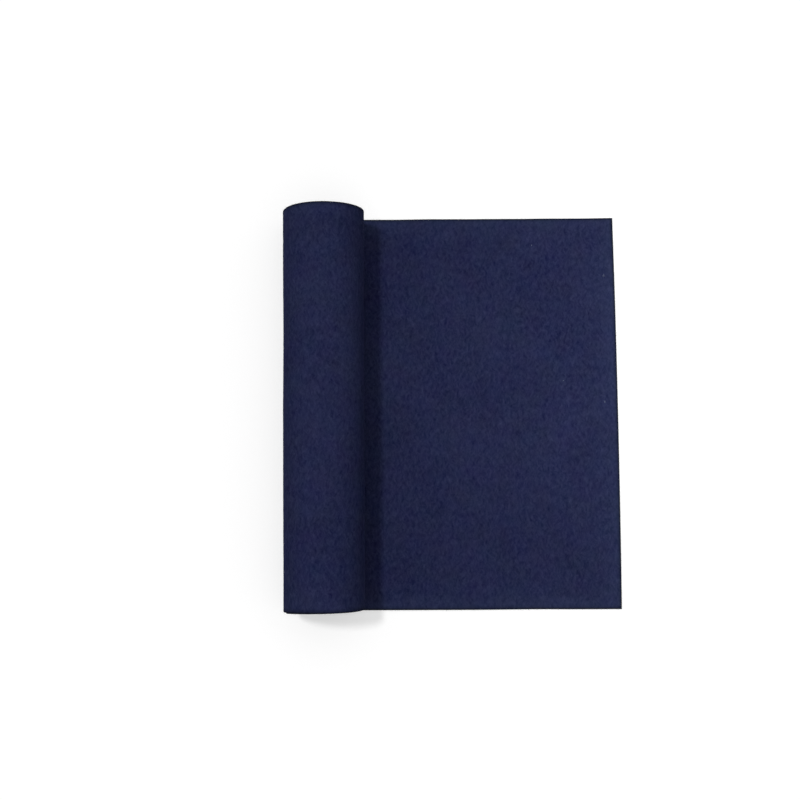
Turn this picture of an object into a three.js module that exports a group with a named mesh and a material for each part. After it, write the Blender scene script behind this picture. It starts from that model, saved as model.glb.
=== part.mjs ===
// Calligraphy felt mat: one long sheet of pressed felt, wound into an open roll with one end drawn out flat.
// Millimetres. X runs along the sheet from the roll to the free edge, Y across its width, Z up.
// The origin is the middle of the mat's footprint, on the surface that it lies on.
import * as THREE from "three";

// The sheet as it is cut.
const SHEET_LENGTH = 1400;
const SHEET_WIDTH = 400;
const FELT_THICKNESS = 2;

// How it lies: the length drawn out flat, counted from the line where the felt leaves the table,
// the clear bore of the roll, and the air between one turn and the next.
const LEAF_LENGTH = 295;
const BORE_DIAMETER = 53;
const TURN_GAP = 0.5;

// The parting between the leaf and the roll, and the strip beside the roll that the writing face leaves out.
const PARTING_GAP = 0.3;
const FACE_MARGIN = 6;

// Facets round each turn of the roll.
const STEPS_PER_TURN = 48;

// The felt's finish.
const LEAF_COLOUR = 0x262a49;
const ROLL_COLOUR = 0x242846;
const FELT_ROUGHNESS = 0.96;

// The winding is an involute: the sheet's middle plane curls with a radius that shrinks by DRIFT for every
// radian turned, which is one PITCH a turn. The bore gives the radius at the inner end, and the length of
// felt that is wound gives the radius at the parting line.
const PITCH = FELT_THICKNESS + TURN_GAP;
const DRIFT = PITCH / (2 * Math.PI);
const WOUND_LENGTH = SHEET_LENGTH - LEAF_LENGTH;
const INNER_RADIUS = (BORE_DIAMETER + FELT_THICKNESS) / 2;
const OUTER_RADIUS = Math.sqrt(INNER_RADIUS ** 2 + 2 * DRIFT * WOUND_LENGTH);
const TOTAL_TURN = (OUTER_RADIUS - INNER_RADIUS) / DRIFT;

// A point of the winding in its own section plane (x along the sheet, y up), with the parting line at 0, 0:
// the sheet has turned by angle since it left the table, and depth is counted from its middle plane outwards.
function windingPoint(angle, depth) {
  const radius = OUTER_RADIUS - DRIFT * angle + depth;
  return new THREE.Vector2(
    DRIFT * (Math.cos(angle) - 1) - radius * Math.sin(angle),
    OUTER_RADIUS + FELT_THICKNESS / 2 - radius * Math.cos(angle) - DRIFT * Math.sin(angle),
  );
}

// One face of the wound sheet as points from the parting line to the inner end.
function windingFace(depth) {
  const stepAngle = (2 * Math.PI) / STEPS_PER_TURN;
  const steps = Math.round(TOTAL_TURN / stepAngle);
  const points = [];
  for (let step = 0; step < steps; step += 1) {
    points.push(windingPoint(step * stepAngle, depth));
  }
  points.push(windingPoint(TOTAL_TURN, depth));
  return points;
}

const outerFace = windingFace(FELT_THICKNESS / 2);
const innerFace = windingFace(-FELT_THICKNESS / 2);

// The least air between two turns, over all points of the two faces that lie more than half a turn apart.
function leastTurnGap() {
  let least = Infinity;
  outerFace.forEach((outer, i) => {
    innerFace.forEach((inner, j) => {
      if (Math.abs(i - j) > STEPS_PER_TURN / 2) {
        least = Math.min(least, outer.distanceTo(inner));
      }
    });
  });
  return least;
}

// How far the roll reaches to either side of the parting line, and where the footprint's middle lies.
const rollReachBack = Math.min(...outerFace.map((point) => point.x));
const rollReachOver = Math.max(...outerFace.map((point) => point.x));
const PARTING_X = -(LEAF_LENGTH + rollReachBack) / 2;

// A section of felt carried across the full width of the sheet and set in its place.
function feltMesh(name, section, colour) {
  const geometry = new THREE.ExtrudeGeometry(new THREE.Shape(section), {
    depth: SHEET_WIDTH,
    bevelEnabled: false,
  });
  const material = new THREE.MeshStandardMaterial({
    color: colour,
    roughness: FELT_ROUGHNESS,
    metalness: 0,
  });
  const mesh = new THREE.Mesh(geometry, material);
  mesh.name = name;
  mesh.rotation.x = Math.PI / 2;
  mesh.position.set(PARTING_X, SHEET_WIDTH / 2, 0);
  return mesh;
}

// The leaf: flat felt whose top is divided where the roll stops overhanging it, so the writing face is clear.
const faceStart = rollReachOver + FACE_MARGIN;
const leafSection = [
  new THREE.Vector2(PARTING_GAP, 0),
  new THREE.Vector2(LEAF_LENGTH, 0),
  new THREE.Vector2(LEAF_LENGTH, FELT_THICKNESS),
  new THREE.Vector2(faceStart, FELT_THICKNESS),
  new THREE.Vector2(PARTING_GAP, FELT_THICKNESS),
];

// The roll: the outer face wound in, and the inner face wound back out.
const rollSection = [...outerFace, ...innerFace.toReversed()];

const mat = new THREE.Group();
mat.name = "calligraphy_felt_mat";
mat.add(feltMesh("writing_leaf", leafSection, LEAF_COLOUR));
mat.add(feltMesh("felt_roll", rollSection, ROLL_COLOUR));

const rollDiameter = 2 * OUTER_RADIUS + FELT_THICKNESS;
const turns = TOTAL_TURN / (2 * Math.PI);
const freeEdge = PARTING_X + LEAF_LENGTH;
console.log(`roll ${rollDiameter.toFixed(2)} mm across, ${turns.toFixed(2)} turns`);
console.log(`parting line at x ${PARTING_X.toFixed(3)} mm, free edge at x ${freeEdge.toFixed(3)} mm`);
console.log(`least gap between turns ${leastTurnGap().toFixed(3)} mm`);

export default mat;
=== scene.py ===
"""Looks of a calligraphy felt mat: a flat writing leaf, and the roll that holds the rest of the sheet.

Laid out as a Blender add-on and run as a script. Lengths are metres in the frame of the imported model:
X runs along the sheet from the roll to the free edge, Y across its width and Z up.
"""
import math
from typing import NamedTuple

import bpy
import numpy as np
from bpy.props import FloatProperty, FloatVectorProperty, IntProperty, PointerProperty
from mathutils import Euler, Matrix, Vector


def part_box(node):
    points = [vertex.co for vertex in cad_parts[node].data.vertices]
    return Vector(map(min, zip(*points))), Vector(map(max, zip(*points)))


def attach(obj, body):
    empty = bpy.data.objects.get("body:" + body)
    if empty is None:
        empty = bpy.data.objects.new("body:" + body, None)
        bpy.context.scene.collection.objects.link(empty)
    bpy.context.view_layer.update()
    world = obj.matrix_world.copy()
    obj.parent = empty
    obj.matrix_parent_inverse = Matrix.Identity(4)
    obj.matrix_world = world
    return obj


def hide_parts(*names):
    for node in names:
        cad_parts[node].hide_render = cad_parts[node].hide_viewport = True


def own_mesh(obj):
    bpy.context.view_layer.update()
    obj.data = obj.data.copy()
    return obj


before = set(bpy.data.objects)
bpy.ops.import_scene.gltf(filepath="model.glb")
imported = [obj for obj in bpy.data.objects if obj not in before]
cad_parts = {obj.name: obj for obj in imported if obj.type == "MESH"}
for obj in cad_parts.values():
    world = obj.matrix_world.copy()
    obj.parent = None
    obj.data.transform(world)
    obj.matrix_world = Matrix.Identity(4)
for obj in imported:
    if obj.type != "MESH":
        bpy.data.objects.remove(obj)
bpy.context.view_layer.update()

bl_info = {
    "name": "Calligraphy felt mat",
    "version": (1, 0, 0),
    "blender": (4, 5, 0),
    "location": "View3D > Sidebar > Felt mat",
    "description": "Builds the felt leaf, the felt roll, their loose fibres and the studio around them",
    "category": "Object",
}

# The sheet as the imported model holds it.
LEAF_LOW, LEAF_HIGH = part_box("writing_leaf")
ROLL_LOW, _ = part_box("felt_roll")
SHEET_LENGTH = 1.4
TURN_GAP = 0.0005
PARTING_GAP = 0.0003
THICKNESS = LEAF_HIGH.z - LEAF_LOW.z
WIDTH = LEAF_HIGH.y - LEAF_LOW.y
HALF_WIDTH = WIDTH / 2
PARTING_X = LEAF_LOW.x - PARTING_GAP
LEAF_LENGTH = LEAF_HIGH.x - PARTING_X
WOUND_LENGTH = SHEET_LENGTH - LEAF_LENGTH

# The winding is an involute: its radius shrinks by DRIFT for every radian turned since the parting line.
FULL_TURN = 2 * math.pi
QUARTER_TURN = FULL_TURN / 4
DRIFT = (THICKNESS + TURN_GAP) / FULL_TURN
OUTER_RADIUS = PARTING_X - ROLL_LOW.x - THICKNESS / 2 - DRIFT + DRIFT * QUARTER_TURN
INNER_RADIUS = math.sqrt(OUTER_RADIUS**2 - 2 * DRIFT * WOUND_LENGTH)
TOTAL_TURN = (OUTER_RADIUS - INNER_RADIUS) / DRIFT

# Air that the leaf leaves to the roll at the parting line.
SEAM = 0.00005

# Point attributes: a point's place in the sheet laid out flat, and how much it takes of the painted shade
# along a cut edge and of the painted sheen, a paler band of light, behind it.
SHEET_PLACE = "sheet_place"
EDGE_SHADE = "edge_shade"
EDGE_SHEEN = "edge_sheen"

# Facets round the cut edges, and rings and sides of a loose fibre.
EDGE_STEPS = 5
FIBRE_RINGS = 5
FIBRE_SIDES = 3


class Waves(NamedTuple):
    """Sine waves of a relief: the shortest and the longest, how many, and the seed they are drawn from."""

    shortest: float
    longest: float
    count: int
    seed: int


# Waves over the sheet in metres, and of the turns' ends in radians turned.
NEAR_EDGE = Waves(0.05, 0.25, 9, seed=11)
FAR_EDGE = Waves(0.05, 0.25, 9, seed=12)
LEAF_RIPPLE = Waves(0.07, 0.24, 12, seed=13)
LEAF_NAP = Waves(0.008, 0.03, 40, seed=14)
TURN_ENDS = Waves(3.0, 14.0, 7, seed=21)
SWELL_OVER_SIDE = Waves(0.08, 0.3, 8, seed=22)
SWELL_OVER_HEIGHT = Waves(0.08, 0.3, 8, seed=23)
TURN_SWAY = Waves(0.05, 0.2, 12, seed=24)
INNER_NAP = Waves(0.01, 0.03, 32, seed=25)
OUTER_NAP = Waves(0.01, 0.03, 32, seed=26)

# Seeds of the loose fibres and of the lint.
LEAF_FUZZ_SEED = 31
ROLL_FUZZ_SEED = 32
LINT_SEED = 33

# Tufts of lint on the leaf: place in X and Y, heading, and size as a share of the longest strand.
LINT_TUFTS = np.array(
    [
        (0.1577, 0.1389, 1.7, 1.25),
        (0.0843, 0.1714, 1.2, 0.45),
        (0.1144, 0.0305, 0.1, 0.6),
        (0.1559, 0.0085, 1.4, 0.65),
    ]
)


class FeltSheetSettings(bpy.types.PropertyGroup):
    """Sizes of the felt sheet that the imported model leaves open."""

    rolled_thickness: FloatProperty(
        name="Rolled thickness",
        description="Thickness of the felt in the roll, where it swells into the air between the turns",
        default=0.00208,
        unit="LENGTH",
    )
    edge_width: FloatProperty(
        name="Edge width",
        description="Width of the rounding along the cut edges",
        default=0.001,
        unit="LENGTH",
    )
    edge_thinning: FloatProperty(
        name="Edge thinning",
        description="Share of the felt's thickness that the rounding takes away at a cut edge",
        default=0.55,
        subtype="FACTOR",
    )
    # Painted shade: the felt's colour darkens in a band along the rounded cut edges, where they turn from
    # the light.
    edge_shade_width: FloatProperty(
        name="Rim width",
        description="Width of the darker rim along the cut edges, where the blade pressed the fibres down",
        default=0.005,
        unit="LENGTH",
    )
    # Painted sheen: a paler band of colour, standing in for light, fades inwards from the cut edges.
    sheen_reach: FloatProperty(
        name="Wear reach",
        description="Depth over which the paler band along the cut edges fades",
        default=0.008,
        unit="LENGTH",
    )
    # The roll shows only a share of that painted sheen.
    roll_sheen: FloatProperty(
        name="Roll wear",
        description="Share of that paler band that the roll shows",
        default=0.4,
        subtype="FACTOR",
    )
    free_edge_bow: FloatProperty(
        name="Free edge bow",
        description="How far the middle of the free edge stands out past its corners",
        default=0.00113,
        unit="LENGTH",
    )
    end_curl: FloatProperty(
        name="End curl",
        description="How far the free edge lifts off the table after lying rolled up",
        default=0.0007,
        unit="LENGTH",
    )
    curl_reach: FloatProperty(
        name="Curl reach",
        description="Length of leaf over which the free edge lifts",
        default=0.045,
        unit="LENGTH",
    )
    ripple: FloatProperty(
        name="Ripple",
        description="Height of the broad unevenness of the leaf",
        default=0.00012,
        unit="LENGTH",
    )
    nap: FloatProperty(
        name="Nap",
        description="Height of the small unevenness of the pressed surface",
        default=0.00004,
        unit="LENGTH",
    )
    edge_wander: FloatProperty(
        name="Edge wander",
        description="How far the cut long edges stray from a straight line",
        default=0.00008,
        unit="LENGTH",
    )
    roll_taper: FloatProperty(
        name="Roll taper",
        description="Share by which the roll is wider at its far end and narrower at its near end",
        default=0.0105,
        subtype="FACTOR",
    )
    roll_swell: FloatProperty(
        name="Roll swell",
        description="Height of the soft bulges round the roll, which all its turns share",
        default=0.0002,
        unit="LENGTH",
    )
    turn_sway: FloatProperty(
        name="Turn sway",
        description="How far a turn strays by itself into the air between the turns",
        default=0.00009,
        unit="LENGTH",
    )
    leaf_swing: FloatProperty(
        name="Leaf swing",
        description="How far the free end of the leaf lies out of line with the roll",
        default=0.00075,
        unit="LENGTH",
    )
    roll_shift: FloatProperty(
        name="Roll shift",
        description="How far the roll as a whole lies to the near side of the leaf",
        default=0.00028,
        unit="LENGTH",
    )
    end_skew: FloatProperty(
        name="End skew",
        description="How far the near end of the roll leans out of square",
        default=0.001,
        unit="LENGTH",
    )
    corner_retreat: FloatProperty(
        name="Corner retreat",
        description="How far the far end of the roll draws in on the side away from the leaf",
        default=0.001,
        unit="LENGTH",
    )
    tuck: FloatProperty(
        name="Tuck",
        description="How far the inner turns draw in at the near end, for each quarter turn up to two",
        default=0.00013,
        unit="LENGTH",
    )
    telescope: FloatProperty(
        name="Telescope",
        description="How far the inner turns stand in or out of the roll's ends",
        default=0.0007,
        unit="LENGTH",
    )
    steps_per_turn: IntProperty(
        name="Steps per turn",
        description="Facets round each turn of the roll",
        default=84,
    )


class FeltFinishSettings(bpy.types.PropertyGroup):
    """Colour and grain of the felt."""

    dye: FloatVectorProperty(
        name="Dye",
        description="Mean colour of the writing face of the navy felt",
        subtype="COLOR",
        default=(0.0168, 0.0204, 0.0602),
    )
    back_dye: FloatVectorProperty(
        name="Back dye",
        description="Mean colour of the other face, which the roll turns outwards",
        subtype="COLOR",
        default=(0.0178, 0.0217, 0.0636),
    )
    # Tint of the painted sheen, added along the cut edges in place of light.
    sheen: FloatVectorProperty(
        name="Sheen",
        description="Pale tone that the loosened fibres add along the cut edges",
        subtype="COLOR",
        default=(0.0060, 0.0095, 0.0150),
    )
    bloom: FloatVectorProperty(
        name="Bloom",
        description="Greyer blue that the mottling adds where it is pale and takes away where it is dark",
        subtype="COLOR",
        default=(0.0301, 0.0336, 0.0624),
    )
    pale_fibre: FloatVectorProperty(
        name="Pale fibre",
        description="Colour of the lightly dyed fibres that show through the surface",
        subtype="COLOR",
        default=(0.052, 0.060, 0.125),
    )
    contrast: FloatProperty(
        name="Contrast",
        description="Strength of the felt's mottling",
        default=1.0,
    )
    fibre_depth: FloatProperty(
        name="Fibre depth",
        description="Depth of the fibre relief in the surface",
        default=0.0002,
        unit="LENGTH",
    )


class FeltFuzzSettings(bpy.types.PropertyGroup):
    """Loose fibres that stand out of the felt, and the lint on it."""

    edge_count: IntProperty(
        name="Edge count",
        description="Loose fibres to a metre of cut edge",
        default=700,
    )
    face_count: IntProperty(
        name="Face count",
        description="Loose fibres to a square metre of open face",
        default=7000,
    )
    fibre_length: FloatProperty(
        name="Fibre length",
        description="Longest loose fibre of an edge, which the longest on a face pass by a fifth",
        default=0.0028,
        unit="LENGTH",
    )
    fibre_radius: FloatProperty(
        name="Fibre radius",
        description="Radius of a loose fibre at its root",
        default=0.00003,
        unit="LENGTH",
    )
    fibre_dye: FloatVectorProperty(
        name="Fibre dye",
        description="Colour of the loose fibres",
        subtype="COLOR",
        default=(0.026, 0.031, 0.080),
    )
    lint_strands: IntProperty(
        name="Lint strands",
        description="Strands in a tuft of lint",
        default=12,
    )
    lint_length: FloatProperty(
        name="Lint length",
        description="Longest strand in a tuft of lint of size one",
        default=0.0036,
        unit="LENGTH",
    )
    lint_radius: FloatProperty(
        name="Lint radius",
        description="Radius of a strand of lint at its root",
        default=0.00006,
        unit="LENGTH",
    )
    lint_dye: FloatVectorProperty(
        name="Lint dye",
        description="Colour of the lint",
        subtype="COLOR",
        default=(0.17, 0.20, 0.30),
    )


class FeltStageSettings(bpy.types.PropertyGroup):
    """Studio around the mat."""

    sky_level: FloatProperty(
        name="Sky level",
        description="Light that reaches a level surface from the whole sky",
        default=0.53,
    )
    sky_focus: FloatProperty(
        name="Sky focus",
        description="How strongly the sky's light gathers overhead",
        default=1.0,
    )
    key_level: FloatProperty(
        name="Key level",
        description="Light that reaches a level surface from the key lamp",
        default=0.35,
    )
    key_lean: FloatProperty(
        name="Key lean",
        description="How far the key lamp leans from overhead",
        default=math.radians(22),
        subtype="ANGLE",
    )
    key_heading: FloatProperty(
        name="Key heading",
        description="Turn of the key lamp from the roll's side towards the far end",
        default=math.radians(30),
        subtype="ANGLE",
    )
    key_spread: FloatProperty(
        name="Key spread",
        description="Angle that the key lamp fills, which softens its shadows",
        default=math.radians(7.5),
        subtype="ANGLE",
    )
    pool_level: FloatProperty(
        name="Pool level",
        description="Light that the spot lamp adds at the middle of its pool",
        default=0.39,
    )
    pool_middle: FloatVectorProperty(
        name="Pool middle",
        description="Where the spot lamp's pool of light lies, beside the free edge",
        subtype="TRANSLATION",
        default=(0.27, 0.07, 0.0),
    )
    pool_lamp: FloatVectorProperty(
        name="Pool lamp",
        description="Where the spot lamp hangs",
        subtype="TRANSLATION",
        default=(0.42, 0.07, 1.3),
    )
    pool_cone: FloatProperty(
        name="Pool cone",
        description="Full angle of the spot lamp's soft cone",
        default=math.radians(30),
        subtype="ANGLE",
    )
    floor_lift: FloatProperty(
        name="Floor lift",
        description="White added to the table for the camera alone",
        default=0.445,
    )
    floor_bounce: FloatProperty(
        name="Floor bounce",
        description="Share of light that the table throws back at the mat",
        default=0.3,
        subtype="FACTOR",
    )
    floor_colour: FloatVectorProperty(
        name="Floor colour",
        description="Colour of the table top",
        subtype="COLOR",
        default=(0.66, 0.66, 0.66),
    )
    lens: FloatProperty(
        name="Lens",
        description="Focal length of the camera, in millimetres",
        default=63.667,
        unit="CAMERA",
    )
    camera_place: FloatVectorProperty(
        name="Camera place",
        description="Where the camera stands over the mat",
        subtype="TRANSLATION",
        default=(-0.0450, -0.14756, 1.43577),
    )
    camera_tilt: FloatVectorProperty(
        name="Camera tilt",
        description="Turn of the camera from looking straight down",
        subtype="EULER",
        default=(0.11074, 0.00615, -0.00786),
    )


def wave_field(along, across, waves):
    """Smooth random relief of unit spread: the sum of sine waves over the sheet.

    Each has a length between the shortest and the longest, a direction and a phase, drawn from the seed.
    """
    draw = np.random.default_rng(waves.seed)
    lengths = np.exp(draw.uniform(math.log(waves.shortest), math.log(waves.longest), waves.count))
    headings = draw.uniform(0, FULL_TURN, waves.count)
    phases = draw.uniform(0, FULL_TURN, waves.count)
    total = np.zeros(np.broadcast(along, across).shape)
    for length, heading, phase in zip(lengths, headings, phases):
        distance = along * math.cos(heading) + across * math.sin(heading)
        total += np.sin(distance * FULL_TURN / length + phase)
    return total * math.sqrt(2 / waves.count)


def half_outline(steps_across):
    """The upper half of the felt's outline across the sheet, as four arrays.

    share runs from -1 to 1 over the flat, out and drop are the quarter ellipses of the two rounded edges as
    shares of their width and of their depth, and side is -1 on the near edge, 0 on the flat and 1 on the
    far edge.
    """
    turn = np.linspace(0, QUARTER_TURN, EDGE_STEPS + 1)[:-1]
    flat = np.linspace(-1, 1, steps_across + 1)
    share = np.concatenate([-np.ones_like(turn), flat, np.ones_like(turn)])
    out = np.concatenate([np.cos(turn), np.zeros_like(flat), np.cos(turn[::-1])])
    drop = np.concatenate([1 - np.sin(turn), np.zeros_like(flat), 1 - np.sin(turn[::-1])])
    side = np.concatenate([-np.ones_like(turn), np.zeros_like(flat), np.ones_like(turn)])
    return share, out, drop, side


def rounded_end(last, half, sheet):
    """Stations and half thicknesses of a cut end: a quarter ellipse on both faces, which ends at last."""
    turn = np.linspace(QUARTER_TURN, 0, EDGE_STEPS + 1)
    stations = last - sheet.edge_width * (1 - np.cos(turn))
    return stations, half * (1 - sheet.edge_thinning * (1 - np.sin(turn)))


def strip_faces(sections, points):
    """Quads of a closed strip: a ring of points at each section, joined to the next, with both ends capped.

    The first half of a ring is the upper outline, and the second half is the lower one, walked back.
    """
    ring = np.arange(points)
    here = np.arange(sections - 1)[:, None] * points
    following = (ring + 1) % points
    ahead = here + points
    wall = np.stack([here + ring, ahead + ring, ahead + following, here + following], axis=-1)
    upper = np.arange(points // 2 - 1)
    lower = points - 1 - upper
    start_cap = np.stack([upper, upper + 1, lower - 1, lower], axis=-1)
    end_cap = start_cap[:, ::-1] + (sections - 1) * points
    return np.concatenate([wall.reshape(-1, 4), start_cap, end_cap])


def ring_of(upper, lower):
    """Values round each section: those of the upper outline, then those of the lower one, walked back."""
    return np.concatenate([upper, lower[:, ::-1]], axis=1)


def felt_strip(along, to_end, middle, facing, half, edges, outline, sheet, relief):
    """Points of a felt strip, their places in the flat sheet and their edge attributes, by section and ring.

    along, to_end, middle, facing and half hold, for each section, its place along the sheet, the felt left
    up to the cut end, the middle of the felt in X and Z, the direction of its upper face and half its
    thickness. edges holds the near and the far edge in Y. A point stands off the middle by half the
    thickness along facing, times what the rounded edges leave of it. relief adds the unevenness of the
    upper and of the lower face, as a function of place along and across. The painted shade along the cut
    edges fades inwards over its width, and comes in over cut_share of the thickness, so that it stops short
    of the cut itself. The painted sheen, a paler band of light along the cut edges, falls off exponentially
    from the nearest cut edge, and by a set factor more slowly from the cut end.
    """
    cut_share = 0.25
    end_sheen = 1.5
    share, out, drop, side = outline
    near, far = edges
    centre = (far + near)[:, None] / 2
    reach = (far - near)[:, None] / 2 - sheet.edge_width
    across = centre + share * reach + side * sheet.edge_width * out
    depth = half[:, None] * (1 - sheet.edge_thinning * drop)
    upper, lower = relief(along[:, None], across)
    across_ring = ring_of(across, across)
    depth_ring = ring_of(depth + upper, lower - depth)
    points = np.stack(
        [
            middle[:, :1] + facing[:, :1] * depth_ring,
            across_ring,
            middle[:, 1:] + facing[:, 1:] * depth_ring,
        ],
        axis=-1,
    )
    along_ring = np.broadcast_to(PARTING_X + along[:, None], across_ring.shape)
    place = np.stack([along_ring, across_ring, depth_ring + THICKNESS / 2], axis=-1)
    inwards = np.minimum(across - near[:, None], far[:, None] - across)
    # Painted sheen: a paler band of light that falls off from the cut edges.
    edge_sheen_depth = np.minimum(inwards, to_end[:, None] / end_sheen)
    edge_sheen = np.exp(-np.maximum(edge_sheen_depth, 0) / sheet.sheen_reach)
    # Painted shade: a darker band along the rounded cut edges.
    edge_shade_depth = np.minimum(inwards, to_end[:, None])
    left = depth / half.max() - (1 - sheet.edge_thinning)
    edge_shade = np.clip(1 - edge_shade_depth / sheet.edge_shade_width, 0, 1) * np.clip(left / cut_share, 0, 1)
    return points, place, {EDGE_SHADE: ring_of(edge_shade, edge_shade), EDGE_SHEEN: ring_of(edge_sheen, edge_sheen)}


def add_mesh(name, points, faces, material, place=None, shares=()):
    """A smooth mesh object at the origin, with its points' attributes where they are given."""
    mesh = bpy.data.meshes.new(name)
    corners = faces.shape[1]
    mesh.vertices.add(len(points))
    mesh.vertices.foreach_set("co", np.ascontiguousarray(points, np.float32).ravel())
    mesh.loops.add(faces.size)
    mesh.loops.foreach_set("vertex_index", np.ascontiguousarray(faces, np.int32).ravel())
    mesh.polygons.add(len(faces))
    mesh.polygons.foreach_set("loop_start", np.arange(0, faces.size, corners, dtype=np.int32))
    mesh.update()
    mesh.shade_smooth()
    if place is not None:
        attribute = mesh.attributes.new(SHEET_PLACE, "FLOAT_VECTOR", "POINT")
        attribute.data.foreach_set("vector", np.ascontiguousarray(place, np.float32).ravel())
    for key, share in dict(shares).items():
        attribute = mesh.attributes.new(key, "FLOAT", "POINT")
        attribute.data.foreach_set("value", np.ascontiguousarray(share, np.float32).ravel())
    mesh.materials.append(material)
    made = bpy.data.objects.new(name, mesh)
    bpy.context.scene.collection.objects.link(made)
    return made


def add_strip(name, strip, material):
    """A felt strip as a mesh object."""
    points, place, shares = strip
    sections, ring = points.shape[:2]
    return add_mesh(name, points.reshape(-1, 3), strip_faces(sections, ring), material, place, shares)


def leaf_surface(sheet):
    """The flat leaf: stations from the parting line to the free edge.

    Near the free edge the felt lifts with the square of the way gone along the curl's reach. The free edge
    bows out as a parabola, the leaf swings out of line in proportion to its length, and its long edges
    wander. The felt ripples over the table by waves that are raised by ripple_base and cut off at zero, so
    that it doesn't sink in, and its upper face has a nap. Wander and ripple come up over settle_reach from
    the parting line.
    """
    station_step = 0.002
    steps_across = 160
    settle_reach = 0.06
    ripple_base = 1.6
    flat = np.linspace(SEAM, LEAF_LENGTH - sheet.edge_width, round(LEAF_LENGTH / station_step))[:-1]
    tip, tip_half = rounded_end(LEAF_LENGTH, THICKNESS / 2, sheet)
    along = np.concatenate([flat, tip])
    half = np.concatenate([np.full_like(flat, THICKNESS / 2), tip_half])
    lift = sheet.end_curl * np.clip((along - LEAF_LENGTH + sheet.curl_reach) / sheet.curl_reach, 0, 1) ** 2
    middle = np.stack([PARTING_X + along, THICKNESS / 2 + lift], axis=1)
    facing = np.tile([0.0, 1.0], (len(along), 1))
    settle = np.clip(along / settle_reach, 0, 1)
    near_wander, far_wander = (
        sheet.edge_wander * settle * wave_field(along, 0.0, waves) for waves in (NEAR_EDGE, FAR_EDGE)
    )
    swing = -sheet.leaf_swing * along / LEAF_LENGTH
    edges = (swing + near_wander - HALF_WIDTH, swing + far_wander + HALF_WIDTH)

    def relief(place, across):
        """The ripple on both faces, and the nap on the upper one."""
        ripple = sheet.ripple * np.clip(ripple_base + wave_field(place, across, LEAF_RIPPLE), 0, None)
        ripple = ripple * settle[:, None]
        upper = ripple + sheet.nap * wave_field(place, across, LEAF_NAP)
        return upper, ripple

    to_end = LEAF_LENGTH - along
    outline = half_outline(steps_across)
    points, place, shares = felt_strip(along, to_end, middle, facing, half, edges, outline, sheet, relief)
    bow = sheet.free_edge_bow * (1 - (points[..., 1] / HALF_WIDTH) ** 2)
    points[..., 0] += bow * along[:, None] / LEAF_LENGTH
    return points, place, shares


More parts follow.
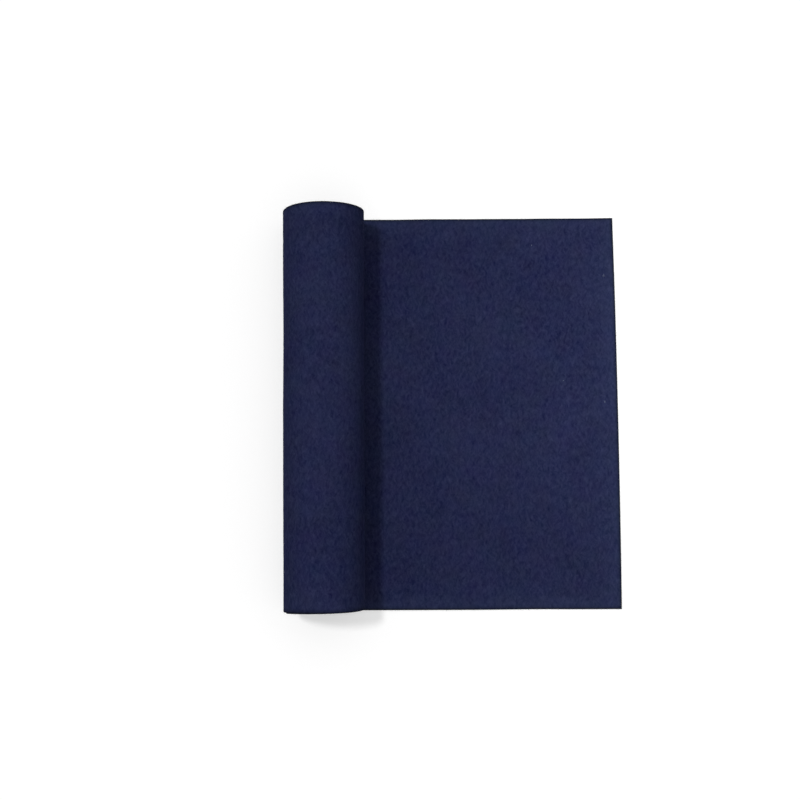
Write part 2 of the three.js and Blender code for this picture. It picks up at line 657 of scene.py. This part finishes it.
def roll_surface(sheet):
    """The wound felt: an involute from the parting line to the inner end, which is cut square and rounded.

    The felt swells over the first swelling_turn radians. Its turns share a taper, which grows with the place
    along the roll, and soft bulges, which die out where the roll rests. They sway a little by themselves,
    and stand in or out of the ends by waves over the turn. What sets the ends apart from the leaf's edges
    comes up over the first quarter turn. The near end leans in by the skew times the sum of all_round and of
    one plus the cosine of the turn, so most of all at the table, times a share that is larger on the leaf's
    side. Over the fourth and the fifth quarter turn that lean fades, and the tuck is added to it. The far
    end draws in by the retreat times the sum of all_round and of the fourth power of the sine of the turn,
    on the side away from the leaf. Places in the sheet are moved by back_slice, so that the roll doesn't
    repeat the leaf's mottling. The sections come back in the order in which they follow along the sheet, so
    that the faces point outwards.
    """
    swelling_turn = 0.6
    steps_across = 80
    back_slice = 0.21
    all_round = 0.1
    lean_share, lean_to_leaf, lean_fade = 1.75, 1.25, 0.3
    tuck_start, tuck_quarters = 3, 2
    half_rolled = sheet.rolled_thickness / 2
    steps = round(TOTAL_TURN / FULL_TURN * sheet.steps_per_turn)
    wound = np.linspace(0, TOTAL_TURN - sheet.edge_width / INNER_RADIUS, steps)[:-1]
    tip, tip_half = rounded_end(TOTAL_TURN * INNER_RADIUS, half_rolled, sheet)
    swollen = np.clip(wound / swelling_turn, 0, 1)
    turned = np.concatenate([wound, tip / INNER_RADIUS])
    half = np.concatenate([THICKNESS / 2 + (half_rolled - THICKNESS / 2) * swollen, tip_half])
    bend = OUTER_RADIUS - DRIFT * turned
    along = DRIFT * turned**2 / 2 - OUTER_RADIUS * turned
    sine, cosine = np.sin(turned), np.cos(turned)
    middle_x = PARTING_X + DRIFT * (cosine - 1) - bend * sine
    middle_z = OUTER_RADIUS + THICKNESS / 2 - bend * cosine - DRIFT * sine
    middle = np.stack([middle_x, middle_z], axis=1)
    facing = np.stack([sine, cosine], axis=1)
    settle = np.clip(turned / FULL_TURN, 0, 1)
    risen = np.clip(turned / QUARTER_TURN, 0, 1) ** 2
    inwards = np.clip(turned / QUARTER_TURN - tuck_start, 0, tuck_quarters)
    slide = sheet.telescope * settle * wave_field(turned, 0.0, TURN_ENDS) - sheet.roll_shift * risen
    leaned = all_round + (1 + cosine) * (lean_share - lean_to_leaf * sine)
    lean = sheet.end_skew * risen * leaned * (1 - lean_fade * inwards)
    retreat = sheet.corner_retreat * risen * (all_round + np.clip(sine, 0, 1) ** 4)
    edges = (slide + lean + sheet.tuck * inwards - HALF_WIDTH, slide - retreat + HALF_WIDTH)

    def relief(place, across):
        """The bulges that the turns share, the sway of each turn, and the nap of each face.

        The bulges are the mean of two wave fields, one over the side and one over the height round the roll,
        times one less the square of half of one plus the cosine of the turn.
        """
        over_side = wave_field(sine[:, None] * OUTER_RADIUS, across, SWELL_OVER_SIDE)
        over_height = wave_field(cosine[:, None] * OUTER_RADIUS, across, SWELL_OVER_HEIGHT)
        clear = 1 - ((1 + cosine[:, None]) / 2) ** 2
        shared = sheet.roll_swell * clear * (over_side + over_height) / 2
        sway = sheet.turn_sway * settle[:, None] * wave_field(place, across, TURN_SWAY)
        upper = shared + sway + sheet.nap * wave_field(place, across, INNER_NAP)
        lower = shared + sway + sheet.nap * wave_field(place, across, OUTER_NAP)
        return upper, lower

    to_end = INNER_RADIUS * (TOTAL_TURN - turned)
    outline = half_outline(steps_across)
    points, place, shares = felt_strip(along, to_end, middle, facing, half, edges, outline, sheet, relief)
    place[..., 2] += back_slice
    # The roll keeps only a share of the painted sheen along its cut edges.
    shares[EDGE_SHEEN] = shares[EDGE_SHEEN] * sheet.roll_sheen
    grow = 1 + sheet.roll_taper * points[..., 1] / HALF_WIDTH
    points[..., 0] = PARTING_X + (points[..., 0] - PARTING_X) * grow
    points[..., 2] = np.maximum(points[..., 2] * grow, 0)
    return points[::-1], place[::-1], {key: share[::-1] for key, share in shares.items()}


def unit(vectors):
    """Vectors scaled to a length of one."""
    return vectors / np.linalg.norm(vectors, axis=-1, keepdims=True)


def grid_places(points, section, ring):
    """Places on a strip's grid, with the direction along the strip and the one out of its surface at each.

    The first runs from the section before to the section after, and the second is its cross product with the
    one from the ring point before to the ring point after.
    """
    last = len(points) - 1
    ahead = points[np.minimum(section + 1, last), ring] - points[np.maximum(section - 1, 0), ring]
    onward = points[section, (ring + 1) % points.shape[1]] - points[section, ring - 1]
    return points[section, ring], unit(ahead), unit(np.cross(ahead, onward))


def fibre_tubes(roots, ways, bends, lengths, radius):
    """Points and triangles of loose fibres: three-sided tubes with closed ends, which thin out to the tip.

    The middle of a fibre, at a share s of its length, is its root plus the length times s along its way plus
    the length times s squared along its bend. Where that would go under the table, the fibre lies on it.
    """
    thinning = 0.6
    share = np.linspace(0, 1, FIBRE_RINGS)
    reach = lengths[:, None, None] * share[None, :, None]
    middle = roots[:, None] + reach * (ways[:, None] + share[None, :, None] * bends[:, None])
    middle[..., 2] = np.maximum(middle[..., 2], radius)
    side = unit(np.cross(ways, bends))
    rise = unit(np.cross(ways, side))
    corner_number = np.arange(FIBRE_SIDES)
    angle = corner_number * FULL_TURN / FIBRE_SIDES
    corner = np.cos(angle)[:, None] * side[:, None] + np.sin(angle)[:, None] * rise[:, None]
    taper = radius * (1 - thinning * share)
    points = middle[:, :, None] + taper[:, None, None] * corner[:, None]
    ring_start = np.arange(FIBRE_RINGS - 1)[:, None] * FIBRE_SIDES
    here = ring_start + corner_number
    onward = ring_start + (corner_number + 1) % FIBRE_SIDES
    lower = np.stack([here, onward, onward + FIBRE_SIDES], axis=-1).reshape(-1, 3)
    upper = np.stack([here, onward + FIBRE_SIDES, here + FIBRE_SIDES], axis=-1).reshape(-1, 3)
    root_cap = [[0, 2, 1]]
    tip_cap = [corner_number + (FIBRE_RINGS - 1) * FIBRE_SIDES]
    one = np.concatenate([lower, upper, root_cap, tip_cap])
    faces = one + np.arange(len(roots))[:, None, None] * FIBRE_RINGS * FIBRE_SIDES
    return points.reshape(-1, 3), faces.reshape(-1, 3)


def add_fibres(name, fibres, radius, material):
    """Loose fibres as one mesh object."""
    return add_mesh(name, *fibre_tubes(*fibres, radius), material)


def edge_fibres(points, sections, rings, count, fuzz, draw):
    """Fibres that stand out of a cut edge: roots, ways, bends and lengths.

    The roots are drawn from the given sections and ring points. A fibre's way is the outward direction with
    a drawn part of the direction along the strip, and its bend is a drawn direction that sags. Its length is
    the longest times the square of a drawn share.
    """
    slant, curl, sag, shortest = 0.9, 0.5, 0.15, 0.25
    root, ahead, outward = grid_places(points, draw.choice(sections, count), draw.choice(rings, count))
    way = unit(outward + draw.uniform(-slant, slant, (count, 1)) * ahead)
    bend = curl * unit(draw.normal(0, 1, (count, 3))) - [0, 0, sag]
    return root, way, bend, fuzz.fibre_length * draw.uniform(shortest, 1, count) ** 2


def face_fibres(points, sections, rings, count, fuzz, draw):
    """Fibres that lie on an open face: roots, ways, bends and lengths.

    A fibre's way is a drawn direction in the surface, lifted a little out of it, and its bend brings it back
    down and to one side.
    """
    lift, curl, droop = 0.3, 0.6, 0.22
    shortest, longest = 0.5, 1.2
    root, ahead, outward = grid_places(points, draw.choice(sections, count), draw.choice(rings, count))
    sideways = np.cross(outward, ahead)
    heading = draw.uniform(0, FULL_TURN, (count, 1))
    level = np.cos(heading) * ahead + np.sin(heading) * sideways
    turned = np.cos(heading) * sideways - np.sin(heading) * ahead
    way = unit(level + lift * outward)
    bend = draw.uniform(-curl, curl, (count, 1)) * turned - droop * outward
    return root, way, bend, fuzz.fibre_length * draw.uniform(shortest, longest, count)


def leaf_fibres(sheet, fuzz):
    """Loose fibres of the leaf where the roll leaves it open: on its cut edges and its upper face."""
    draw = np.random.default_rng(LEAF_FUZZ_SEED)
    points = leaf_surface(sheet)[0]
    sections, half_ring = len(points), points.shape[1] // 2
    flat = np.flatnonzero(points[:, 0, 0] > PARTING_X + OUTER_RADIUS)[:-EDGE_STEPS]
    open_length = LEAF_LENGTH - OUTER_RADIUS
    near, far = np.arange(EDGE_STEPS), np.arange(half_ring - EDGE_STEPS, half_ring)
    face = np.arange(EDGE_STEPS, half_ring - EDGE_STEPS)
    long_count, free_count = round(fuzz.edge_count * open_length), round(fuzz.edge_count * WIDTH)
    groups = (
        edge_fibres(points, flat, near, long_count, fuzz, draw),
        edge_fibres(points, flat, far, long_count, fuzz, draw),
        edge_fibres(points, np.arange(sections - EDGE_STEPS, sections), face, free_count, fuzz, draw),
        face_fibres(points, flat, face, round(fuzz.face_count * open_length * WIDTH), fuzz, draw),
    )
    return [np.concatenate(parts) for parts in zip(*groups)]


def roll_fibres(sheet, fuzz):
    """Loose fibres of the roll: along both ends of its turns, and over the open part of its outer face.

    The ends stay bare for nip_share of a turn from the parting line, and the face is open from open_from to
    open_to of a turn.
    """
    nip_share, open_from, open_to = 0.06, 0.12, 0.9
    draw = np.random.default_rng(ROLL_FUZZ_SEED)
    points = roll_surface(sheet)[0]
    sections, half_ring = len(points), points.shape[1] // 2
    bare, first, last = (round(share * sheet.steps_per_turn) for share in (nip_share, open_from, open_to))
    turns = np.arange(EDGE_STEPS, sections - bare)
    outermost = np.arange(sections - last, sections - first)
    near = np.concatenate([np.arange(EDGE_STEPS), 2 * half_ring - 1 - np.arange(EDGE_STEPS)])
    far = np.concatenate([half_ring - 1 - np.arange(EDGE_STEPS), half_ring + np.arange(EDGE_STEPS)])
    face = np.arange(half_ring + EDGE_STEPS, 2 * half_ring - EDGE_STEPS)
    end_count = round(fuzz.edge_count * WOUND_LENGTH)
    face_count = round(fuzz.face_count * (open_to - open_from) * FULL_TURN * OUTER_RADIUS * WIDTH)
    groups = (
        edge_fibres(points, turns, near, end_count, fuzz, draw),
        edge_fibres(points, turns, far, end_count, fuzz, draw),
        face_fibres(points, outermost, face, face_count, fuzz, draw),
    )
    return [np.concatenate(parts) for parts in zip(*groups)]


def lint_fibres(sheet, fuzz):
    """A few tufts of lint on the leaf's upper face: roots, ways, bends and lengths of their strands.

    The strands of a tuft lie about its heading, cross near its middle, and curl to one side and back down.
    """
    fan, scatter, shortest = 0.4, 0.14, 0.5
    least_rise, most_rise = 0.05, 0.3
    most_curl, droop = 0.8, 0.2
    draw = np.random.default_rng(LINT_SEED)
    points = leaf_surface(sheet)[0]
    upper = points[:, : points.shape[1] // 2]
    places, headings, sizes = LINT_TUFTS[:, :2], LINT_TUFTS[:, 2], LINT_TUFTS[:, 3]
    distance = np.hypot(*(upper[None, ..., axis] - places[:, axis, None, None] for axis in (0, 1)))
    nearest = distance.reshape(len(places), -1).argmin(axis=1)
    tuft = np.repeat(np.arange(len(places)), fuzz.lint_strands)
    count = len(tuft)
    heading = headings[tuft] + draw.normal(0, fan, count)
    lengths = fuzz.lint_length * sizes[tuft] * draw.uniform(shortest, 1, count)
    ways = np.column_stack([np.cos(heading), np.sin(heading), draw.uniform(least_rise, most_rise, count)])
    curl = draw.uniform(-most_curl, most_curl, count)
    bends = np.column_stack([-curl * np.sin(heading), curl * np.cos(heading), np.full(count, -droop)])
    middle = places[tuft] + draw.normal(0, scatter, (count, 2)) * lengths[:, None]
    height = upper.reshape(-1, 3)[nearest, 2][tuft] + fuzz.lint_radius
    roots = np.column_stack([middle - ways[:, :2] * lengths[:, None] / 2, height])
    return roots, ways, bends, lengths


def place_node(tree, kind, inputs=(), **values):
    """A node with its properties set, and its inputs set to values or linked to other nodes' sockets."""
    made = tree.nodes.new(kind)
    for key, value in values.items():
        setattr(made, key, value)
    for key, value in dict(inputs).items():
        if isinstance(value, bpy.types.NodeSocket):
            tree.links.new(value, made.inputs[key])
        else:
            made.inputs[key].default_value = value
    return made


def math_node(tree, operation, first, second):
    """The result of a Math node with two inputs."""
    return place_node(tree, "ShaderNodeMath", {0: first, 1: second}, operation=operation).outputs[0]


def vector_node(tree, operation, inputs):
    """The result of a Vector Math node."""
    return place_node(tree, "ShaderNodeVectorMath", inputs, operation=operation).outputs[0]


def weighed_sum(tree, parts):
    """The sum of sockets, each times its weight."""
    total = None
    for value, weight in parts:
        weighed = math_node(tree, "MULTIPLY", value, weight)
        total = weighed if total is None else math_node(tree, "ADD", total, weighed)
    return total


def noise_value(tree, vector, scale, detail=2.0, roughness=0.5):
    """A noise centred on zero, whose patches are about one scale-th of a metre across."""
    inputs = {"Vector": vector, "Scale": scale, "Detail": detail, "Roughness": roughness}
    noise = place_node(tree, "ShaderNodeTexNoise", inputs)
    return math_node(tree, "SUBTRACT", noise.outputs["Fac"], 0.5)


def streak_value(tree, vector, lean, length, width):
    """Streaks that lean from the sheet's width, centred on zero: a noise stretched along that direction."""
    turned = place_node(tree, "ShaderNodeMapping", {"Vector": vector, "Rotation": (0, 0, lean)})
    scale = (1 / width, 1 / length, 1 / width)
    stretched = place_node(tree, "ShaderNodeMapping", {"Vector": turned.outputs[0], "Scale": scale})
    return noise_value(tree, stretched.outputs[0], scale=1.0, roughness=0.6)


def bent_vector(tree, vector, scale, reach):
    """A vector field shifted by up to half of reach with a colour noise, which makes streaks wavy."""
    bend = place_node(tree, "ShaderNodeTexNoise", {"Vector": vector, "Scale": scale, "Detail": 1.0})
    centred = vector_node(tree, "SUBTRACT", {0: bend.outputs["Color"], 1: (0.5, 0.5, 0.5)})
    shift = vector_node(tree, "SCALE", {0: centred, "Scale": reach})
    return vector_node(tree, "ADD", {0: vector, 1: shift})


def felt_group():
    """Node group of pressed felt: a colour that mottles at several sizes, and the relief of its fibres.

    The dye takes unevenly, channel by channel. The bloom is added to it times the weighed sum of a cloud, a
    mottle, a grain, broad streaks and fine fibres, which run mostly across the sheet, and that sum stops at
    darkest. Pale fibres are mixed in where the fine fibres are strongest. Towards the cut edges a painted
    sheen, a pale tint in place of light, is added, and painted shade takes away the square of the edge
    shade's share times a loss for each channel. The height is another weighed sum.
    """
    usual_fibre = 0.1
    darkest = -0.5
    dye_spread, dye_least = (0.28, 0.28, 0.28), (0.86, 0.86, 0.86)
    # Painted shade: the share of each channel that the colour loses at a rounded cut edge.
    painted_shade_loss, white = (-0.84, -0.82, -0.9), (1.0, 1.0, 1.0)
    broad_leans, fine_leans = (0.36, -0.36), (0.45, -0.55, 1.4)
    group = bpy.data.node_groups.new("pressed_felt", "ShaderNodeTree")
    for name, kind in (
        ("Vector", "NodeSocketVector"),
        ("Dye", "NodeSocketColor"),
        ("Bloom", "NodeSocketColor"),
        ("Pale Fibre", "NodeSocketColor"),
        ("Contrast", "NodeSocketFloat"),
        ("Sheen", "NodeSocketColor"),
        ("Edge Shade", "NodeSocketFloat"),
        ("Edge Sheen", "NodeSocketFloat"),
    ):
        group.interface.new_socket(name, in_out="INPUT", socket_type=kind)
    group.interface.new_socket("Color", in_out="OUTPUT", socket_type="NodeSocketColor")
    group.interface.new_socket("Height", in_out="OUTPUT", socket_type="NodeSocketFloat")
    given = place_node(group, "NodeGroupInput").outputs
    vector = given["Vector"]
    cloud = noise_value(group, vector, scale=13.0)
    mottle = noise_value(group, vector, scale=150.0)
    grain = noise_value(group, vector, scale=700.0, roughness=0.6)
    wavy = bent_vector(group, vector, scale=120.0, reach=0.006)
    broad = [streak_value(group, wavy, lean, length=0.0068, width=0.0024) for lean in broad_leans]
    streaks = math_node(group, "ADD", *broad)
    fine = [streak_value(group, wavy, lean, length=0.006, width=0.0011) for lean in fine_leans]
    strongest = math_node(group, "MAXIMUM", math_node(group, "MAXIMUM", fine[0], fine[1]), fine[2])
    fibre = math_node(group, "SUBTRACT", strongest, usual_fibre)
    parts = ((cloud, 0.3), (mottle, 0.1), (grain, 0.2), (streaks, 0.74), (fibre, 0.55))
    scaled = math_node(group, "MULTIPLY", weighed_sum(group, parts), given["Contrast"])
    level = math_node(group, "MAXIMUM", scaled, darkest)
    uneven = place_node(group, "ShaderNodeTexNoise", {"Vector": vector, "Scale": 42.0, "Detail": 2.0})
    take = vector_node(group, "MULTIPLY_ADD", {0: uneven.outputs["Color"], 1: dye_spread, 2: dye_least})
    dyed = vector_node(group, "MULTIPLY", {0: given["Dye"], 1: take})
    bloom = vector_node(group, "SCALE", {0: given["Bloom"], "Scale": level})
    bloomed = vector_node(group, "ADD", {0: dyed, 1: bloom})
    strands = place_node(
        group,
        "ShaderNodeMapRange",
        {"Value": fibre, "From Min": 0.05, "From Max": 0.30, "To Min": 0.0, "To Max": 0.20},
    )
    mixed = place_node(
        group,
        "ShaderNodeMixRGB",
        {"Fac": strands.outputs[0], "Color1": bloomed, "Color2": given["Pale Fibre"]},
    )
    # Painted sheen added along the cut edges, then painted shade taken off there.
    paled = vector_node(group, "MULTIPLY_ADD", {0: given["Sheen"], 1: given["Edge Sheen"], 2: mixed.outputs[0]})
    edge_shade_share = math_node(group, "POWER", given["Edge Shade"], 2.0)
    kept = vector_node(group, "MULTIPLY_ADD", {0: edge_shade_share, 1: painted_shade_loss, 2: white})
    shaded = vector_node(group, "MULTIPLY", {0: paled, 1: kept})
    height = weighed_sum(group, ((fibre, 1.0), (mottle, 0.8), (streaks, 0.5), (grain, 0.4)))
    place_node(group, "NodeGroupOutput", {"Color": shaded, "Height": height})
    return group


def fresh_tree(owner):
    """The empty node tree of a new material or world."""
    owner.use_nodes = True
    owner.node_tree.nodes.clear()
    return owner.node_tree


def felt_material(name, finish, dye, follows_sheet=False):
    """Felt of one dye, dull and soft, mottled over the place in the frame or over the unrolled sheet."""
    material = bpy.data.materials.new(name)
    tree = fresh_tree(material)
    if follows_sheet:
        vector = place_node(tree, "ShaderNodeAttribute", attribute_name=SHEET_PLACE).outputs["Vector"]
    else:
        vector = place_node(tree, "ShaderNodeTexCoord").outputs["Object"]
    # Shares of painted shade and of painted sheen along the cut edges.
    edge_shade, edge_sheen = (
        place_node(tree, "ShaderNodeAttribute", attribute_name=share).outputs["Fac"] for share in (EDGE_SHADE, EDGE_SHEEN)
    )
    felt = place_node(
        tree,
        "ShaderNodeGroup",
        {
            "Vector": vector,
            "Dye": (*dye, 1),
            "Bloom": (*finish.bloom, 1),
            "Pale Fibre": (*finish.pale_fibre, 1),
            "Contrast": finish.contrast,
            "Sheen": (*finish.sheen, 1),
            "Edge Shade": edge_shade,
            "Edge Sheen": edge_sheen,
        },
        node_tree=bpy.data.node_groups.get("pressed_felt") or felt_group(),
    )
    bump = place_node(
        tree,
        "ShaderNodeBump",
        {"Strength": 1.0, "Distance": finish.fibre_depth, "Height": felt.outputs["Height"]},
    )
    surface = place_node(
        tree,
        "ShaderNodeBsdfPrincipled",
        {
            "Base Color": felt.outputs["Color"],
            "Roughness": 0.95,
            "Specular IOR Level": 0.03,
            "Normal": bump.outputs["Normal"],
        },
    )
    place_node(tree, "ShaderNodeOutputMaterial", {"Surface": surface.outputs[0]})
    return material


def seen_directly(tree):
    """1 for rays from the camera and for rays that were reflected or let through, 0 for scattered light."""
    path = place_node(tree, "ShaderNodeLightPath").outputs
    sharp = math_node(tree, "MAXIMUM", path["Is Glossy Ray"], path["Is Transmission Ray"])
    return math_node(tree, "MAXIMUM", path["Is Camera Ray"], sharp)


def table_material(stage):
    """A pale matt table top that looks white in the open and keeps the mat's shadow.

    Rays that see it directly get its colour and its lift, and scattered light only its bounce.
    """
    material = bpy.data.materials.new("pale_table")
    tree = fresh_tree(material)
    seen = seen_directly(tree)
    bounce = stage.floor_bounce
    shade = place_node(
        tree,
        "ShaderNodeMixRGB",
        {"Fac": seen, "Color1": (bounce, bounce, bounce, 1), "Color2": (*stage.floor_colour, 1)},
    )
    matt = place_node(tree, "ShaderNodeBsdfDiffuse", {"Color": shade.outputs[0]})
    lift = math_node(tree, "MULTIPLY", seen, stage.floor_lift)
    glow = place_node(tree, "ShaderNodeEmission", {"Color": (1, 1, 1, 1), "Strength": lift})
    both = place_node(tree, "ShaderNodeAddShader", {0: matt.outputs[0], 1: glow.outputs[0]})
    place_node(tree, "ShaderNodeOutputMaterial", {"Surface": both.outputs[0]})
    return material


def light_the_world(stage):
    """A white surround for the eye, and for the mat a sky that is brighter overhead than at the sides.

    The sky's strength in a direction is the height of that direction to the power of the focus, times the
    level and half of the focus plus two, with which a level surface gets just the level.
    """
    world = bpy.data.worlds.new("studio_sky")
    tree = fresh_tree(world)
    direction = place_node(tree, "ShaderNodeTexCoord").outputs["Generated"]
    height = place_node(tree, "ShaderNodeSeparateXYZ", {0: direction}).outputs["Z"]
    gathered = math_node(tree, "POWER", math_node(tree, "MAXIMUM", height, 0.0), stage.sky_focus)
    sky = math_node(tree, "MULTIPLY", gathered, stage.sky_level * (stage.sky_focus + 2) / 2)
    strength = place_node(tree, "ShaderNodeMix", {"Factor": seen_directly(tree), "A": sky, "B": 1.0})
    white = {"Color": (1, 1, 1, 1), "Strength": strength.outputs[0]}
    background = place_node(tree, "ShaderNodeBackground", white)
    place_node(tree, "ShaderNodeOutputWorld", {"Surface": background.outputs[0]})
    bpy.context.scene.world = world


def add_key_lamp(stage):
    """A distant lamp that leans from overhead to the roll's side and the far end.

    Its energy is the level times pi over the cosine of its lean, with which a level surface gets the level.
    """
    lamp = bpy.data.lights.new("key_lamp", "SUN")
    lamp.energy = stage.key_level * math.pi / math.cos(stage.key_lean)
    lamp.angle = stage.key_spread
    placed = bpy.data.objects.new("key_lamp", lamp)
    placed.rotation_euler = Euler((0, -stage.key_lean, -stage.key_heading), "XYZ")
    bpy.context.scene.collection.objects.link(placed)


def add_pool_lamp(stage):
    """A spot lamp with a soft cone, which lights the leaf towards its free edge.

    A spot lamp's energy is that of a lamp shining all round: the level times 4, pi squared and the distance
    squared, over the cosine of the light's slant.
    """
    lamp_radius = 0.15
    way = Vector(stage.pool_middle) - Vector(stage.pool_lamp)
    lamp = bpy.data.lights.new("pool_lamp", "SPOT")
    lamp.energy = stage.pool_level * 4 * math.pi**2 * way.length_squared / -way.normalized().z
    lamp.spot_size = stage.pool_cone
    lamp.spot_blend = 1.0
    lamp.shadow_soft_size = lamp_radius
    placed = bpy.data.objects.new("pool_lamp", lamp)
    placed.location = stage.pool_lamp
    placed.rotation_euler = way.to_track_quat("-Z", "Y").to_euler()
    placed.visible_camera = False
    bpy.context.scene.collection.objects.link(placed)


def add_camera(stage):
    """The camera over the mat."""
    data = bpy.data.cameras.new("overhead_camera")
    data.sensor_width = 36
    data.lens = stage.lens
    camera = bpy.data.objects.new("overhead_camera", data)
    camera.location = stage.camera_place
    camera.rotation_euler = Euler(stage.camera_tilt, "XYZ")
    bpy.context.scene.collection.objects.link(camera)
    bpy.context.scene.camera = camera


def take_up(piece):
    """Give a piece of the leaf a mesh of its own."""
    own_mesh(piece)


class FELTMAT_OT_leaf(bpy.types.Operator):
    """Make the flat leaf of felt"""

    bl_idname = "felt_mat.leaf"
    bl_label = "Leaf"

    def execute(self, context):
        finish = context.scene.felt_finish
        material = felt_material("leaf_felt", finish, finish.dye)
        leaf = add_strip("leaf_felt", leaf_surface(context.scene.felt_sheet), material)
        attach(leaf, "leaf")
        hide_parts("writing_leaf")
        take_up(leaf)
        return {"FINISHED"}


class FELTMAT_OT_roll(bpy.types.Operator):
    """Make the wound part of the felt"""

    bl_idname = "felt_mat.roll"
    bl_label = "Roll"

    def execute(self, context):
        finish = context.scene.felt_finish
        material = felt_material("roll_felt", finish, finish.back_dye, follows_sheet=True)
        roll = add_strip("roll_felt", roll_surface(context.scene.felt_sheet), material)
        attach(roll, "roll")
        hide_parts("felt_roll")
        return {"FINISHED"}


class FELTMAT_OT_fuzz(bpy.types.Operator):
    """Add the loose fibres of the leaf and of the roll, and the lint on the leaf"""

    bl_idname = "felt_mat.fuzz"
    bl_label = "Fuzz"

    def execute(self, context):
        scene = context.scene
        sheet, finish, fuzz = scene.felt_sheet, scene.felt_finish, scene.felt_fuzz
        loose_felt = felt_material("loose_fibre", finish, fuzz.fibre_dye)
        lint_felt = felt_material("lint", finish, fuzz.lint_dye)
        leaf_fuzz = add_fibres("leaf_fuzz", leaf_fibres(sheet, fuzz), fuzz.fibre_radius, loose_felt)
        roll_fuzz = add_fibres("roll_fuzz", roll_fibres(sheet, fuzz), fuzz.fibre_radius, loose_felt)
        lint = add_fibres("leaf_lint", lint_fibres(sheet, fuzz), fuzz.lint_radius, lint_felt)
        for piece, body in ((leaf_fuzz, "leaf"), (lint, "leaf"), (roll_fuzz, "roll")):
            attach(piece, body)
        take_up(leaf_fuzz)
        take_up(lint)
        return {"FINISHED"}


class FELTMAT_OT_stage(bpy.types.Operator):
    """Set up the table, the light and the camera"""

    bl_idname = "felt_mat.stage"
    bl_label = "Stage"

    def execute(self, context):
        stage = context.scene.felt_stage
        reach = 4.0
        corners = np.array([[-reach, -reach, 0], [reach, -reach, 0], [reach, reach, 0], [-reach, reach, 0]])
        table = add_mesh("pale_table", corners, np.array([[0, 1, 2, 3]]), table_material(stage))
        light_the_world(stage)
        add_key_lamp(stage)
        add_pool_lamp(stage)
        add_camera(stage)
        context.scene.view_settings.view_transform = "Standard"
        return {"FINISHED"}


class FELTMAT_PT_panel(bpy.types.Panel):
    """Sidebar panel with the mat's settings and steps"""

    bl_idname = "FELTMAT_PT_panel"
    bl_label = "Felt mat"
    bl_space_type = "VIEW_3D"
    bl_region_type = "UI"
    bl_category = "Felt mat"

    def draw(self, context):
        for settings_name, _ in SETTINGS:
            group = getattr(context.scene, settings_name)
            box = self.layout.box()
            for name in group.__annotations__:
                box.prop(group, name)
        for operator in OPERATORS:
            self.layout.operator(operator.bl_idname)


SETTINGS = (
    ("felt_sheet", FeltSheetSettings),
    ("felt_finish", FeltFinishSettings),
    ("felt_fuzz", FeltFuzzSettings),
    ("felt_stage", FeltStageSettings),
)
OPERATORS = (FELTMAT_OT_leaf, FELTMAT_OT_roll, FELTMAT_OT_fuzz, FELTMAT_OT_stage)


def register():
    """Register the settings, the operators and the panel."""
    for name, settings in SETTINGS:
        bpy.utils.register_class(settings)
        setattr(bpy.types.Scene, name, PointerProperty(type=settings))
    for made in (*OPERATORS, FELTMAT_PT_panel):
        bpy.utils.register_class(made)


def unregister():
    """Undo what register did."""
    for made in reversed((*OPERATORS, FELTMAT_PT_panel)):
        bpy.utils.unregister_class(made)
    for name, settings in reversed(SETTINGS):
        delattr(bpy.types.Scene, name)
        bpy.utils.unregister_class(settings)


def main():
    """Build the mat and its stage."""
    register()
    bpy.ops.felt_mat.leaf()
    bpy.ops.felt_mat.roll()
    bpy.ops.felt_mat.fuzz()
    bpy.ops.felt_mat.stage()


if __name__ == "__main__":
    main()
